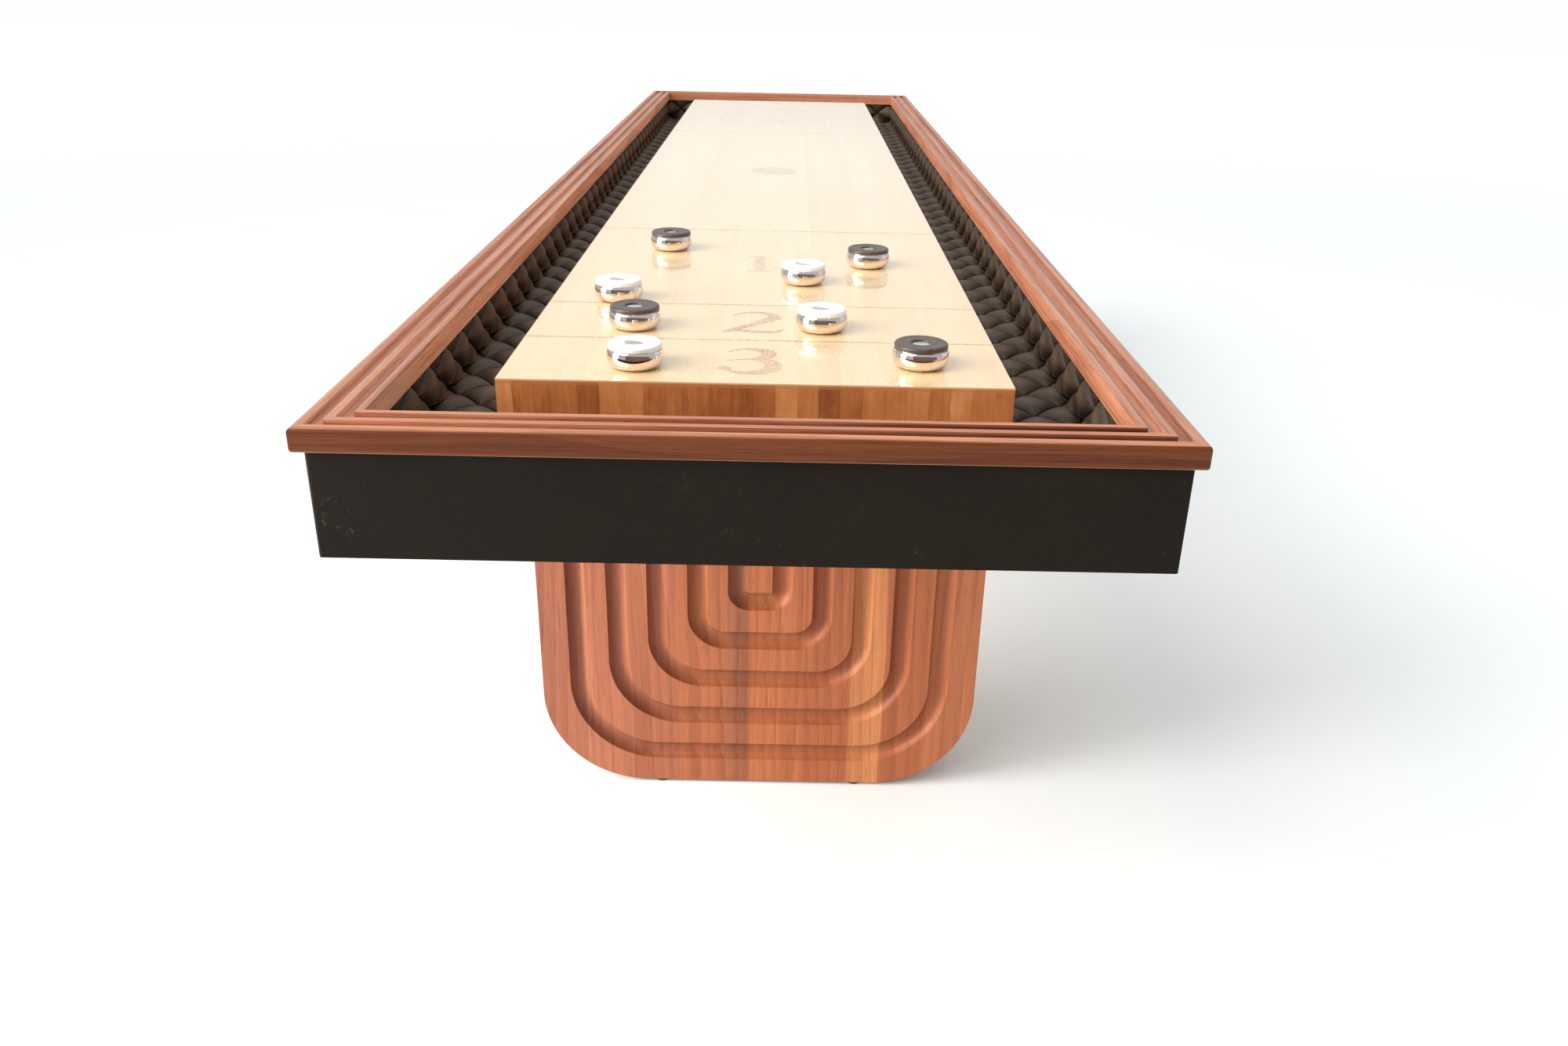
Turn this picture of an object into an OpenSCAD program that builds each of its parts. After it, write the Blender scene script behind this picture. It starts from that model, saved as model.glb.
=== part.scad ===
// Long-board shuffleboard table: a maple playing board on supports inside a
// leather-wrapped cradle, padded gutters all round, a grooved walnut rail,
// two carved walnut pedestals with screw levellers, and eight weights.
// Origin: on the floor below the middle of the table. +Y runs along the board,
// +Z is up. All sizes in millimetres.

/* [Playing board] */
// Length of the playing board
board_l = 2743; // [2400:1:3600]
// Width of the playing board
board_w = 508; // [500:1:516]
// Height of the playing surface above the floor
board_top = 782; // [782:1:782]
// Thickness of the laminated board under the coat
board_t = 71; // [71:1:71]
// Thickness of the poured top coat
coat_t = 5; // [3:0.5:6]

/* [Scoring marks] */
// First scoring line from the end of the board
line_1 = 152.4; // [150:0.1:160]
// Second scoring line from the end of the board
line_2 = 304.8; // [300:0.1:320]
// Foul line from the end of the board
line_3 = 762; // [700:1:900]
// Width of the printed lines
line_w = 3; // [2:0.5:5]
// Diameter of the plain spot at the middle of the board
spot_d = 92; // [60:1:120]

/* [Gutter and cradle] */
// Clear width of the gutter at the sides, board to rail
side_gap = 87.5; // [87.5:0.5:87.5]
// Clear width of the gutter at the ends, board to rail
end_gap = 122; // [110:1:140]
// Thickness of the cradle walls
wall_t = 24; // [20:1:24]
// Thickness of the cradle bottom
base_t = 18; // [15:1:18]
// Height of the apron's lower edge above the floor
apron_z = 665; // [665:1:665]
// Overhang of the rail over the apron
overhang = 8.5; // [8:0.5:14]
// Thickness of the leather on the apron
skin_t = 2; // [1:0.5:2]
// Radius of the apron's corners
ap_r = 3.5; // [3:0.5:8]
// Thickness of the quilted wall pads
pad_t = 20; // [16:0.5:21]
// Height of the top of the gutter floor pads
gutter_z = 718; // [716:1:720]

/* [Rail] */
// Width of the walnut rail
rail_w = 51; // [51:1:60]
// Height of the walnut rail
rail_h = 23; // [23:1:23]
// Width of the inner ridge
ridge_in = 7; // [5:0.5:9]
// Width of the middle ridge
ridge_mid = 8; // [6:0.5:10]
// Width of each groove in the rail
groove_w = 12.5; // [10:0.5:14]
// Depth of each groove in the rail
groove_d = 4.5; // [3:0.5:8]
// Radius of the rail's outer top edge
rail_r = 4; // [2:0.5:5]
// Radius of the rail's outer bottom edge
rail_b = 4; // [1.5:0.5:5]

/* [Pedestals] */
// Distance from the table's middle to each pedestal's outer face
ped_y = 946.6; // [900:1:1000]
// Half width of a pedestal
ped_hw = 321; // [315:1:330]
// Thickness of one carved panel
panel_t = 38; // [34:1:42]
// Thickness of the core between the panels
core_t = 44; // [40:1:60]
// Gap between the floor and the pedestal
ped_z = 6; // [6:0.5:6]
// Radius of the pedestal's lower corners
ped_r = 150; // [140:1:160]
// Number of carved coves
cove_n = 5; // [1:1:5]
// Width of a cove at the face
cove_w = 29; // [24:1:30]
// Depth of a cove
cove_d = 11; // [8:1:12]
// Distance between coves across the face
cove_px = 58.5; // [58:0.5:59]
// Distance between coves up the face
cove_pz = 64.6; // [60:0.1:68]

/* [Levellers] */
// Distance of each leveller from the middle of its pedestal
lev_x = 148; // [120:1:160]
// Radius of the threaded stud
stud_r = 5; // [5:1:5]
// Radial clearance of the stud in its insert
stud_c = 0.05; // [0.03:0.01:0.08]

/* [Weights] */
// Largest diameter of a weight
puck_d = 58.7; // [58:0.1:60]
// Height of a weight with its cap
puck_h = 25; // [25:1:25]
// Gap of powder beads between the board and a weight
puck_gap = 0.5; // [0.4:0.1:1]

/* [Hidden] */
$fn = 64;

walnut = [0.55, 0.30, 0.19];
maple = [0.93, 0.84, 0.70];
ply = [0.76, 0.60, 0.42];
hide = [0.16, 0.13, 0.12];
steel = [0.60, 0.61, 0.62];

bl2 = board_l / 2;
bw2 = board_w / 2;
board_z = board_top - coat_t - board_t;      // underside of the board
in_x = bw2 + side_gap;                        // rail's inner edge
in_y = bl2 + end_gap;
out_x = in_x + rail_w;                        // rail's outer edge
out_y = in_y + rail_w;
rail_top = board_top + 8;
rail_z = rail_top - rail_h;
ap_x = out_x - overhang;                      // outer face of the apron
ap_y = out_y - overhang;
wo_x = ap_x - skin_t;                         // outer face of the cradle wall
wo_y = ap_y - skin_t;
wi_x = wo_x - wall_t;                         // inner face of the cradle wall
wi_y = wo_y - wall_t;
base_top = apron_z + base_t;
boards_top = 702;                             // top of the gutter floor boards
pad_x = wi_x - pad_t;                         // inner face of the side wall pads
pad_y = wi_y - pad_t;
support_y = [-1290, -740, 0, 740, 1290];
adjuster_y = [-1120, -380, 380, 1120];
adj_x = 180;                                  // adjuster bracket's hanging leg
rod_z = 694;
bolt_x = [-200, -60, 60, 200];
bolt_y = ped_y - panel_t - core_t / 2;
lev_y = ped_y - 14;
cove_r = (cove_w * cove_w / 4 + cove_d * cove_d) / (2 * cove_d);
lev_at = [[-1, -1], [1, -1], [-1, 1], [1, 1]];
black_at = [[-135.8, -754.3], [139.1, -842.6], [-139.5, -1173.8], [167.1, -1302.3]];
white_at = [[-172.9, -1049.2], [50.5, -946.4], [69.0, -1170.4], [-122.3, -1320.7]];

module box(a, b) { translate(a) cube([b[0] - a[0], b[1] - a[1], b[2] - a[2]]); }

// ---- playing board ----
module playfield_block() {
  color(walnut + [0.12, 0.10, 0.06]) box([-bw2, -bl2, board_z], [bw2, bl2, board_top - coat_t]);
}
module playfield_topcoat() {
  color(maple) box([-bw2, -bl2, board_top - coat_t], [bw2, bl2, board_top]);
}

// a pen stroke: centre line p with a width w at each point
function nrm(v) = let (l = norm(v)) [-v[1] / l, v[0] / l];
function sdir(p, i) = p[min(i + 1, len(p) - 1)] - p[max(i - 1, 0)];
module stroke(p, w) {
  n = len(p) - 1;
  polygon(concat([for (i = [0:n]) p[i] + nrm(sdir(p, i)) * w[i] / 2],
                 [for (i = [n:-1:0]) p[i] - nrm(sdir(p, i)) * w[i] / 2]));
}
function arc(c, rx, ry, a, b, n) = [for (i = [0:n]) let (t = a + (b - a) * i / n) [c[0] + rx * cos(t), c[1] + ry * sin(t)]];
function swell(n, lo, hi) = [for (i = [0:n]) lo + (hi - lo) * sin(180 * i / n)];
module numeral_1() {
  translate([-7, -45]) square([14, 92]);
  translate([-16, -49]) square([31, 5]);
  polygon([[-6, 47], [-19, 40], [-19, 36], [-6, 39]]);
}
module numeral_2() {
  stroke(arc([0, 21], 24, 21, 168, -20, 16), [for (i = [0:16]) 2 + 15 * pow(i / 16, 1.4)]);
  polygon([[31, 17], [14, 19], [-8, -13], [-33, -39], [-31, -44], [-20, -37], [8, -12]]);
  polygon([[-33, -45], [-20, -40], [-2, -46], [20, -47], [30, -42], [36, -30], [33, -29], [24, -38], [4, -37], [-18, -33], [-32, -38]]);
}
module numeral_3() {
  stroke(arc([-2, 24], 22, 18, 162, -88, 18), [for (i = [0:18]) 2 + 14 * sin(180 * pow(i / 18, 1.6))]);
  stroke(arc([-2, -18], 27, 24, 88, -150, 20), [for (i = [0:20]) 3 + 15 * sin(180 * pow(i / 20, 0.7))]);
  stroke([[-24, 0.5], [-12, 3], [3, 6]], [2, 3, 4]);
  translate([-25, -28]) scale([1.3, 1.3]) circle(r = 5.5, $fn = 32);
}
module marks_end() {
  for (y = [line_1, line_2, line_3])
    translate([-bw2, -bl2 + y - line_w / 2, 0]) cube([board_w, line_w, 0.15]);
  translate([-8, -bl2 + line_1 / 2, 0]) linear_extrude(0.15) numeral_3();
  translate([-8, -bl2 + (line_1 + line_2) / 2, 0]) linear_extrude(0.15) numeral_2();
  translate([-8, -bl2 + (line_2 + line_3) / 2, 0]) linear_extrude(0.15) numeral_1();
}
module scoring_marks() {
  color([0.72, 0.45, 0.36]) translate([0, 0, board_top]) {
    marks_end();
    rotate([0, 0, 180]) marks_end();
    cylinder(r = spot_d / 2, h = 0.15);
  }
}

// ---- walnut rail, drawn with its inner edge at x = 0 and its foot at y = 0 ----
module rail_profile() {
  g1 = ridge_in;
  g2 = ridge_in + groove_w + ridge_mid;
  difference() {
    union() {
      translate([0, rail_b]) square([rail_w, rail_h - rail_r - rail_b]);
      square([rail_w - rail_b, rail_h - rail_r]);
      square([rail_w - rail_r, rail_h]);
      translate([rail_w - rail_r, rail_h - rail_r]) circle(r = rail_r);
      translate([rail_w - rail_b, rail_b]) circle(r = rail_b);
    }
    translate([g1, rail_h - groove_d]) square([groove_w, groove_d + 1]);
    translate([g2, rail_h - groove_d]) square([groove_w, groove_d + 1]);
  }
}
// one rail along +Y with both ends mitred; half = half length at the inner edge
module rail(inner, half) {
  difference() {
    translate([inner, half + rail_w + 10, rail_z]) rotate([90, 0, 0])
      linear_extrude(2 * (half + rail_w + 10)) rail_profile();
    for (s = [-1, 1])
      translate([inner, s * half, rail_z - 5]) rotate([0, 0, s * 45]) translate([-20, s > 0 ? 0 : -150, 0])
        cube([200, 150, rail_h + 10]);
  }
}
module rail_right() { color(walnut) rail(in_x, in_y); }
module rail_left() { color(walnut) rotate([0, 0, 180]) rail(in_x, in_y); }
module rail_far() { color(walnut) rotate([0, 0, 90]) rail(in_y, in_x); }
module rail_near() { color(walnut) rotate([0, 0, -90]) rail(in_y, in_x); }

// ---- cradle ----
wall_z0 = apron_z + skin_t;
module cradle_wall_left() { color(ply) box([-wo_x, -wi_y, wall_z0], [-wi_x, wi_y, rail_z]); }
module cradle_wall_right() { color(ply) box([wi_x, -wi_y, wall_z0], [wo_x, wi_y, rail_z]); }
module cradle_wall_near() { color(ply) box([-wo_x, -wo_y, wall_z0], [wo_x, -wi_y, rail_z]); }
module cradle_wall_far() { color(ply) box([-wo_x, wi_y, wall_z0], [wo_x, wo_y, rail_z]); }
module cradle_base() {
  color(ply) difference() {
    box([-wi_x, -wi_y, apron_z], [wi_x, wi_y, base_top]);
    // access slots below the adjuster nuts
    for (y = adjuster_y, s = [-1, 1])
      box([s * adj_x - 30, y - 35, apron_z - 1], [s * adj_x + 30, y + 35, base_top + 1]);
    for (x = bolt_x, s = [-1, 1])
      translate([x, s * bolt_y, apron_z - 1]) cylinder(r = 5.3, h = base_t + 2);
  }
}
module gutter_floor_boards() {
  color(ply) {
    for (s = [-1, 1]) {
      box([s > 0 ? bw2 + 8 : -wi_x, -bl2 - 8, base_top], [s > 0 ? wi_x : -bw2 - 8, bl2 + 8, boards_top]);
      box([-wi_x, s > 0 ? bl2 + 9 : -wi_y, base_top], [wi_x, s > 0 ? wi_y : -bl2 - 9, boards_top]);
    }
  }
}
module playfield_supports() {
  color(ply) for (y = support_y) box([-bw2 + 14, y - 30, base_top], [bw2 - 14, y + 30, board_z]);
}
// one leather wrap: outside of the walls, turned under their lower edge
module apron_leather() {
  color(hide) difference() {
    union() {
      translate([0, 0, apron_z]) linear_extrude(rail_z - apron_z) union() {
        square([2 * ap_x, 2 * (ap_y - ap_r)], center = true);
        square([2 * (ap_x - ap_r), 2 * ap_y], center = true);
        for (sx = [-1, 1], sy = [-1, 1]) translate([sx * (ap_x - ap_r), sy * (ap_y - ap_r)]) circle(r = ap_r);
      }
    }
    box([-wo_x, -wo_y, wall_z0], [wo_x, wo_y, rail_z + 1]);
    box([-wi_x, -wi_y, apron_z - 1], [wi_x, wi_y, rail_z + 1]);
  }
}

// ---- quilted gutter pads ----
module wall_pad(sx) { box([sx > 0 ? pad_x : -wi_x, -pad_y, gutter_z], [sx > 0 ? wi_x : -pad_x, pad_y, rail_z]); }
module wall_pad_end(sy) { box([-wi_x, sy > 0 ? pad_y : -wi_y, gutter_z], [wi_x, sy > 0 ? wi_y : -pad_y, rail_z]); }
module wall_pad_left() { color(hide + [0.06, 0.06, 0.06]) wall_pad(-1); }
module wall_pad_right() { color(hide + [0.06, 0.06, 0.06]) wall_pad(1); }
module wall_pad_near() { color(hide + [0.06, 0.06, 0.06]) wall_pad_end(-1); }
module wall_pad_far() { color(hide + [0.06, 0.06, 0.06]) wall_pad_end(1); }
module floor_pad_left() { color(hide + [0.1, 0.1, 0.1]) box([-wi_x, -bl2 - 1, boards_top], [-bw2 - 1, bl2 + 1, gutter_z]); }
module floor_pad_right() { color(hide + [0.1, 0.1, 0.1]) box([bw2 + 1, -bl2 - 1, boards_top], [wi_x, bl2 + 1, gutter_z]); }
module floor_pad_near() { color(hide + [0.1, 0.1, 0.1]) box([-wi_x, -wi_y, boards_top], [wi_x, -bl2 - 1, gutter_z]); }
module floor_pad_far() { color(hide + [0.1, 0.1, 0.1]) box([-wi_x, bl2 + 1, boards_top], [wi_x, wi_y, gutter_z]); }

// ---- climatic adjusters under the board ----
module adjuster_brackets() {
  color(steel) for (y = adjuster_y, s = [-1, 1]) translate([s * adj_x, y, 0]) difference() {
    union() {
      box([-3, -20, base_top + 2], [3, 20, board_z]);
      box([s > 0 ? -3 : -37, -20, board_z - 3], [s > 0 ? 37 : 3, 20, board_z]);
    }
    translate([-5, 0, rod_z]) rotate([0, 90, 0]) cylinder(r = 4.3, h = 10);
  }
}
module adjuster_rods() {
  color(steel) for (y = adjuster_y)
    translate([-adj_x - 22, y, rod_z]) rotate([0, 90, 0]) cylinder(r = 4, h = 2 * adj_x + 44);
}
module adjuster_nuts() {
  color(steel) for (y = adjuster_y, s = [-1, 1], d = [-3 - 6.5, 3])
    translate([s * adj_x + d, y, rod_z]) rotate([0, 90, 0]) difference() {
      cylinder(r = 7.5, h = 6.5, $fn = 6);
      translate([0, 0, -1]) cylinder(r = 4.05, h = 9);
    }
}

// ---- pedestals, drawn with the carved face on y = 0 looking towards -Y ----
module leg_outline() {
  union() {
    translate([-ped_hw, ped_z + ped_r]) square([2 * ped_hw, apron_z - ped_z - ped_r]);
    translate([-(ped_hw - ped_r), ped_z]) square([2 * (ped_hw - ped_r), ped_r + 1]);
    for (s = [-1, 1]) translate([s * (ped_hw - ped_r), ped_z + ped_r]) circle(r = ped_r, $fn = 128);
  }
}
module leg_slab(t) { translate([0, t, 0]) rotate([90, 0, 0]) linear_extrude(t) leg_outline(); }
module cove(i) {
  xc = 265.75 - cove_px * i;
  zc = 58.5 + cove_pz * i;
  rc = 117 - 25.25 * i;
  translate([0, cove_d - cove_r, 0]) {
    for (s = [-1, 1]) {
      translate([s * xc, 0, zc + rc]) cylinder(r = cove_r, h = apron_z + 10 - zc - rc);
      translate([s * (xc - rc), 0, zc + rc]) rotate([90, 0, 0])
        rotate([0, 0, s > 0 ? -90 : 180]) rotate_extrude(angle = 90, $fn = 96)
          translate([rc, 0]) circle(r = cove_r, $fn = 64);
    }
    translate([-(xc - rc), 0, zc]) rotate([0, 90, 0]) cylinder(r = cove_r, h = 2 * (xc - rc));
  }
}
module carved_panel() {
  difference() {
    leg_slab(panel_t);
    for (i = [0:cove_n - 1]) cove(i);
    // leveller pockets
    for (s = [-1, 1]) translate([s * lev_x, 14, ped_z - 1]) {
      cylinder(r = 7, h = 26);
      cylinder(r = 5.6, h = 35);
    }
  }
}
module inner_panel() {
  // face looks towards +Y
  difference() {
    leg_slab(panel_t);
    translate([0, panel_t, 0]) mirror([0, 1, 0]) for (i = [0:cove_n - 1]) cove(i);
  }
}
module core() {
  difference() {
    leg_slab(core_t);
    for (x = bolt_x) translate([x, core_t / 2, apron_z - 60]) cylinder(r = 8, h = 61);
  }
}
module at_ped(s, d) { rotate([0, 0, s > 0 ? 180 : 0]) translate([0, -ped_y + d, 0]) children(); }
module pedestal_near_outer_panel() { color(walnut) at_ped(-1, 0) carved_panel(); }
module pedestal_near_core() { color(walnut * 0.85) at_ped(-1, panel_t) core(); }
module pedestal_near_inner_panel() { color(walnut) at_ped(-1, panel_t + core_t) inner_panel(); }
module pedestal_far_outer_panel() { color(walnut) at_ped(1, 0) carved_panel(); }
module pedestal_far_core() { color(walnut * 0.85) at_ped(1, panel_t) core(); }
module pedestal_far_inner_panel() { color(walnut) at_ped(1, panel_t + core_t) inner_panel(); }
module pedestal_inserts() {
  color([0.78, 0.64, 0.32]) for (s = [-1, 1], x = bolt_x) translate([x, s * bolt_y, apron_z - 60]) difference() {
    cylinder(r = 8, h = 60);
    translate([0, 0, 5]) cylinder(r = 5.05, h = 60);
  }
}
module pedestal_bolts() {
  color(steel) for (s = [-1, 1], x = bolt_x) translate([x, s * bolt_y, base_top]) {
    translate([0, 0, -60]) cylinder(r = 5, h = 61);
    cylinder(r = 11, h = 2);
    translate([0, 0, 2]) cylinder(r = 9.24, h = 7, $fn = 6);
  }
}

// ---- screw levellers ----
module at_lev(k) { translate([lev_at[k][0] * lev_x, lev_at[k][1] * lev_y, 0]) children(); }
module leveller_inserts() {
  color([0.78, 0.64, 0.32]) for (k = [0:3]) at_lev(k) translate([0, 0, ped_z]) difference() {
    cylinder(r = 7, h = 25);
    translate([0, 0, -1]) cylinder(r = stud_r + stud_c, h = 27);
  }
}
module leveller_pad(k) {
  color([0.82, 0.80, 0.76]) at_lev(k) difference() {
    union() {
      cylinder(r = 11, h = 2.5);
      translate([0, 0, 2]) cylinder(r = 8.5, h = 1.5);
    }
    translate([0, 0, 1]) cylinder(r = 3.05, h = 4);
  }
}
module leveller_stud(k) {
  color(steel) at_lev(k) {
    translate([0, 0, 1.2]) cylinder(r = 3, h = 3);
    translate([0, 0, 3.7]) cylinder(r = 7.5, h = 2, $fn = 6);
    translate([0, 0, 4]) cylinder(r = stud_r, h = 32);
  }
}
module leveller_pad_1() { leveller_pad(0); }
module leveller_pad_2() { leveller_pad(1); }
module leveller_pad_3() { leveller_pad(2); }
module leveller_pad_4() { leveller_pad(3); }
module leveller_stud_1() { leveller_stud(0); }
module leveller_stud_2() { leveller_stud(1); }
module leveller_stud_3() { leveller_stud(2); }
module leveller_stud_4() { leveller_stud(3); }

// ---- weights ----
pr = puck_d / 2;
cap_z = 19.6;
body_profile = concat([[0, 0]],
  [for (i = [0:10]) let (a = 9 * i) [21.5 + (pr - 21.5) * sin(a), 11.5 * (1 - cos(a))]],
  [for (i = [1:6]) let (u = i / 6) [pr - 1.5 * u * u, 11.5 + 7.3 * u]],
  [[26.6, cap_z - 0.6], [26.6, cap_z], [9.6, cap_z], [9.6, 23], [0, 23]]);
cap_profile = concat([[10, cap_z], [27.6, cap_z]],
  [for (i = [0:5]) let (a = 18 * i) [25 + 2.4 * cos(a), puck_h - 2.6 + 2.4 * sin(a)]],
  [[18, puck_h], [11.2, puck_h], [10, puck_h - 0.9]]);
module at_puck(p) { translate([p[0], p[1], board_top + puck_gap]) children(); }
module puck_weight(p) { color([0.80, 0.80, 0.82]) at_puck(p) rotate_extrude($fn = 96) polygon(body_profile); }
module puck_cap(p, c) { color(c) at_puck(p) rotate_extrude($fn = 96) polygon(cap_profile); }
black = [0.10, 0.10, 0.10];
white = [0.95, 0.95, 0.93];
module weight_black_1() { puck_weight(black_at[0]); }
module weight_black_2() { puck_weight(black_at[1]); }
module weight_black_3() { puck_weight(black_at[2]); }
module weight_black_4() { puck_weight(black_at[3]); }
module cap_black_1() { puck_cap(black_at[0], black); }
module cap_black_2() { puck_cap(black_at[1], black); }
module cap_black_3() { puck_cap(black_at[2], black); }
module cap_black_4() { puck_cap(black_at[3], black); }
module weight_white_1() { puck_weight(white_at[0]); }
module weight_white_2() { puck_weight(white_at[1]); }
module weight_white_3() { puck_weight(white_at[2]); }
module weight_white_4() { puck_weight(white_at[3]); }
module cap_white_1() { puck_cap(white_at[0], white); }
module cap_white_2() { puck_cap(white_at[1], white); }
module cap_white_3() { puck_cap(white_at[2], white); }
module cap_white_4() { puck_cap(white_at[3], white); }

playfield_block();
playfield_topcoat();
scoring_marks();
rail_left();
rail_right();
rail_near();
rail_far();
cradle_wall_left();
cradle_wall_right();
cradle_wall_near();
cradle_wall_far();
cradle_base();
gutter_floor_boards();
playfield_supports();
apron_leather();
wall_pad_left();
wall_pad_right();
wall_pad_near();
wall_pad_far();
floor_pad_left();
floor_pad_right();
floor_pad_near();
floor_pad_far();
adjuster_brackets();
adjuster_rods();
adjuster_nuts();
pedestal_near_outer_panel();
pedestal_near_core();
pedestal_near_inner_panel();
pedestal_far_outer_panel();
pedestal_far_core();
pedestal_far_inner_panel();
pedestal_bolts();
pedestal_inserts();
leveller_inserts();
leveller_pad_1();
leveller_stud_1();
leveller_pad_2();
leveller_stud_2();
leveller_pad_3();
leveller_stud_3();
leveller_pad_4();
leveller_stud_4();
weight_black_1();
cap_black_1();
weight_black_2();
cap_black_2();
weight_black_3();
cap_black_3();
weight_black_4();
cap_black_4();
weight_white_1();
cap_white_1();
weight_white_2();
cap_white_2();
weight_white_3();
cap_white_3();
weight_white_4();
cap_white_4();
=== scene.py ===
import bpy, bmesh, math, random
from mathutils import Vector, Matrix


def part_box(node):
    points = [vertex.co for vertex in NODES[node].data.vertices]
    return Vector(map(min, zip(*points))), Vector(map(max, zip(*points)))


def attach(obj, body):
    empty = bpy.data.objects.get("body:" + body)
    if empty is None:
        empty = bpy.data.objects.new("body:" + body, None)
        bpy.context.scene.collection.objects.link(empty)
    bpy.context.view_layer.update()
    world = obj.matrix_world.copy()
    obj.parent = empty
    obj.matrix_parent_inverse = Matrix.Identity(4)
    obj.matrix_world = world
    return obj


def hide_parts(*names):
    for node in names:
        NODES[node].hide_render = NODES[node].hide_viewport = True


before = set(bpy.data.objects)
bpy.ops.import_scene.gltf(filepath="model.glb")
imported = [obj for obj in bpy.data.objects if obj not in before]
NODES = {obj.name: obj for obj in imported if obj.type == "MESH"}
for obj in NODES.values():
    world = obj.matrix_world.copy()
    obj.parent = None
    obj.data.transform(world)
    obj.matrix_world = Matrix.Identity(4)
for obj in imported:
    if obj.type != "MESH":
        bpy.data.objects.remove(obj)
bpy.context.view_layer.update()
scene = bpy.context.scene

# ------------------------------------------------------------------ camera
W, H = 2000, 1334
yaw, pitch, roll = math.radians(0.18966), math.radians(24.22681), math.radians(1.19166)
fwd = Vector((math.sin(yaw) * math.cos(pitch), math.cos(yaw) * math.cos(pitch), -math.sin(pitch)))
right0 = Vector((math.cos(yaw), -math.sin(yaw), 0))
up0 = right0.cross(fwd)
right = right0 * math.cos(roll) + up0 * math.sin(roll)
up = -right0 * math.sin(roll) + up0 * math.cos(roll)
cam_data = bpy.data.cameras.new("camera")
cam_data.sensor_width = 36
cam_data.sensor_fit = "HORIZONTAL"
cam_data.lens = 1581.7772 / W * 36
cam_data.clip_end = 100
cam = bpy.data.objects.new("camera", cam_data)
scene.collection.objects.link(cam)
rot = Matrix((right, up, -fwd)).transposed()
cam.matrix_world = Matrix.Translation((0.0270, -2.5295, 1.15465)) @ rot.to_4x4()
scene.camera = cam

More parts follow.
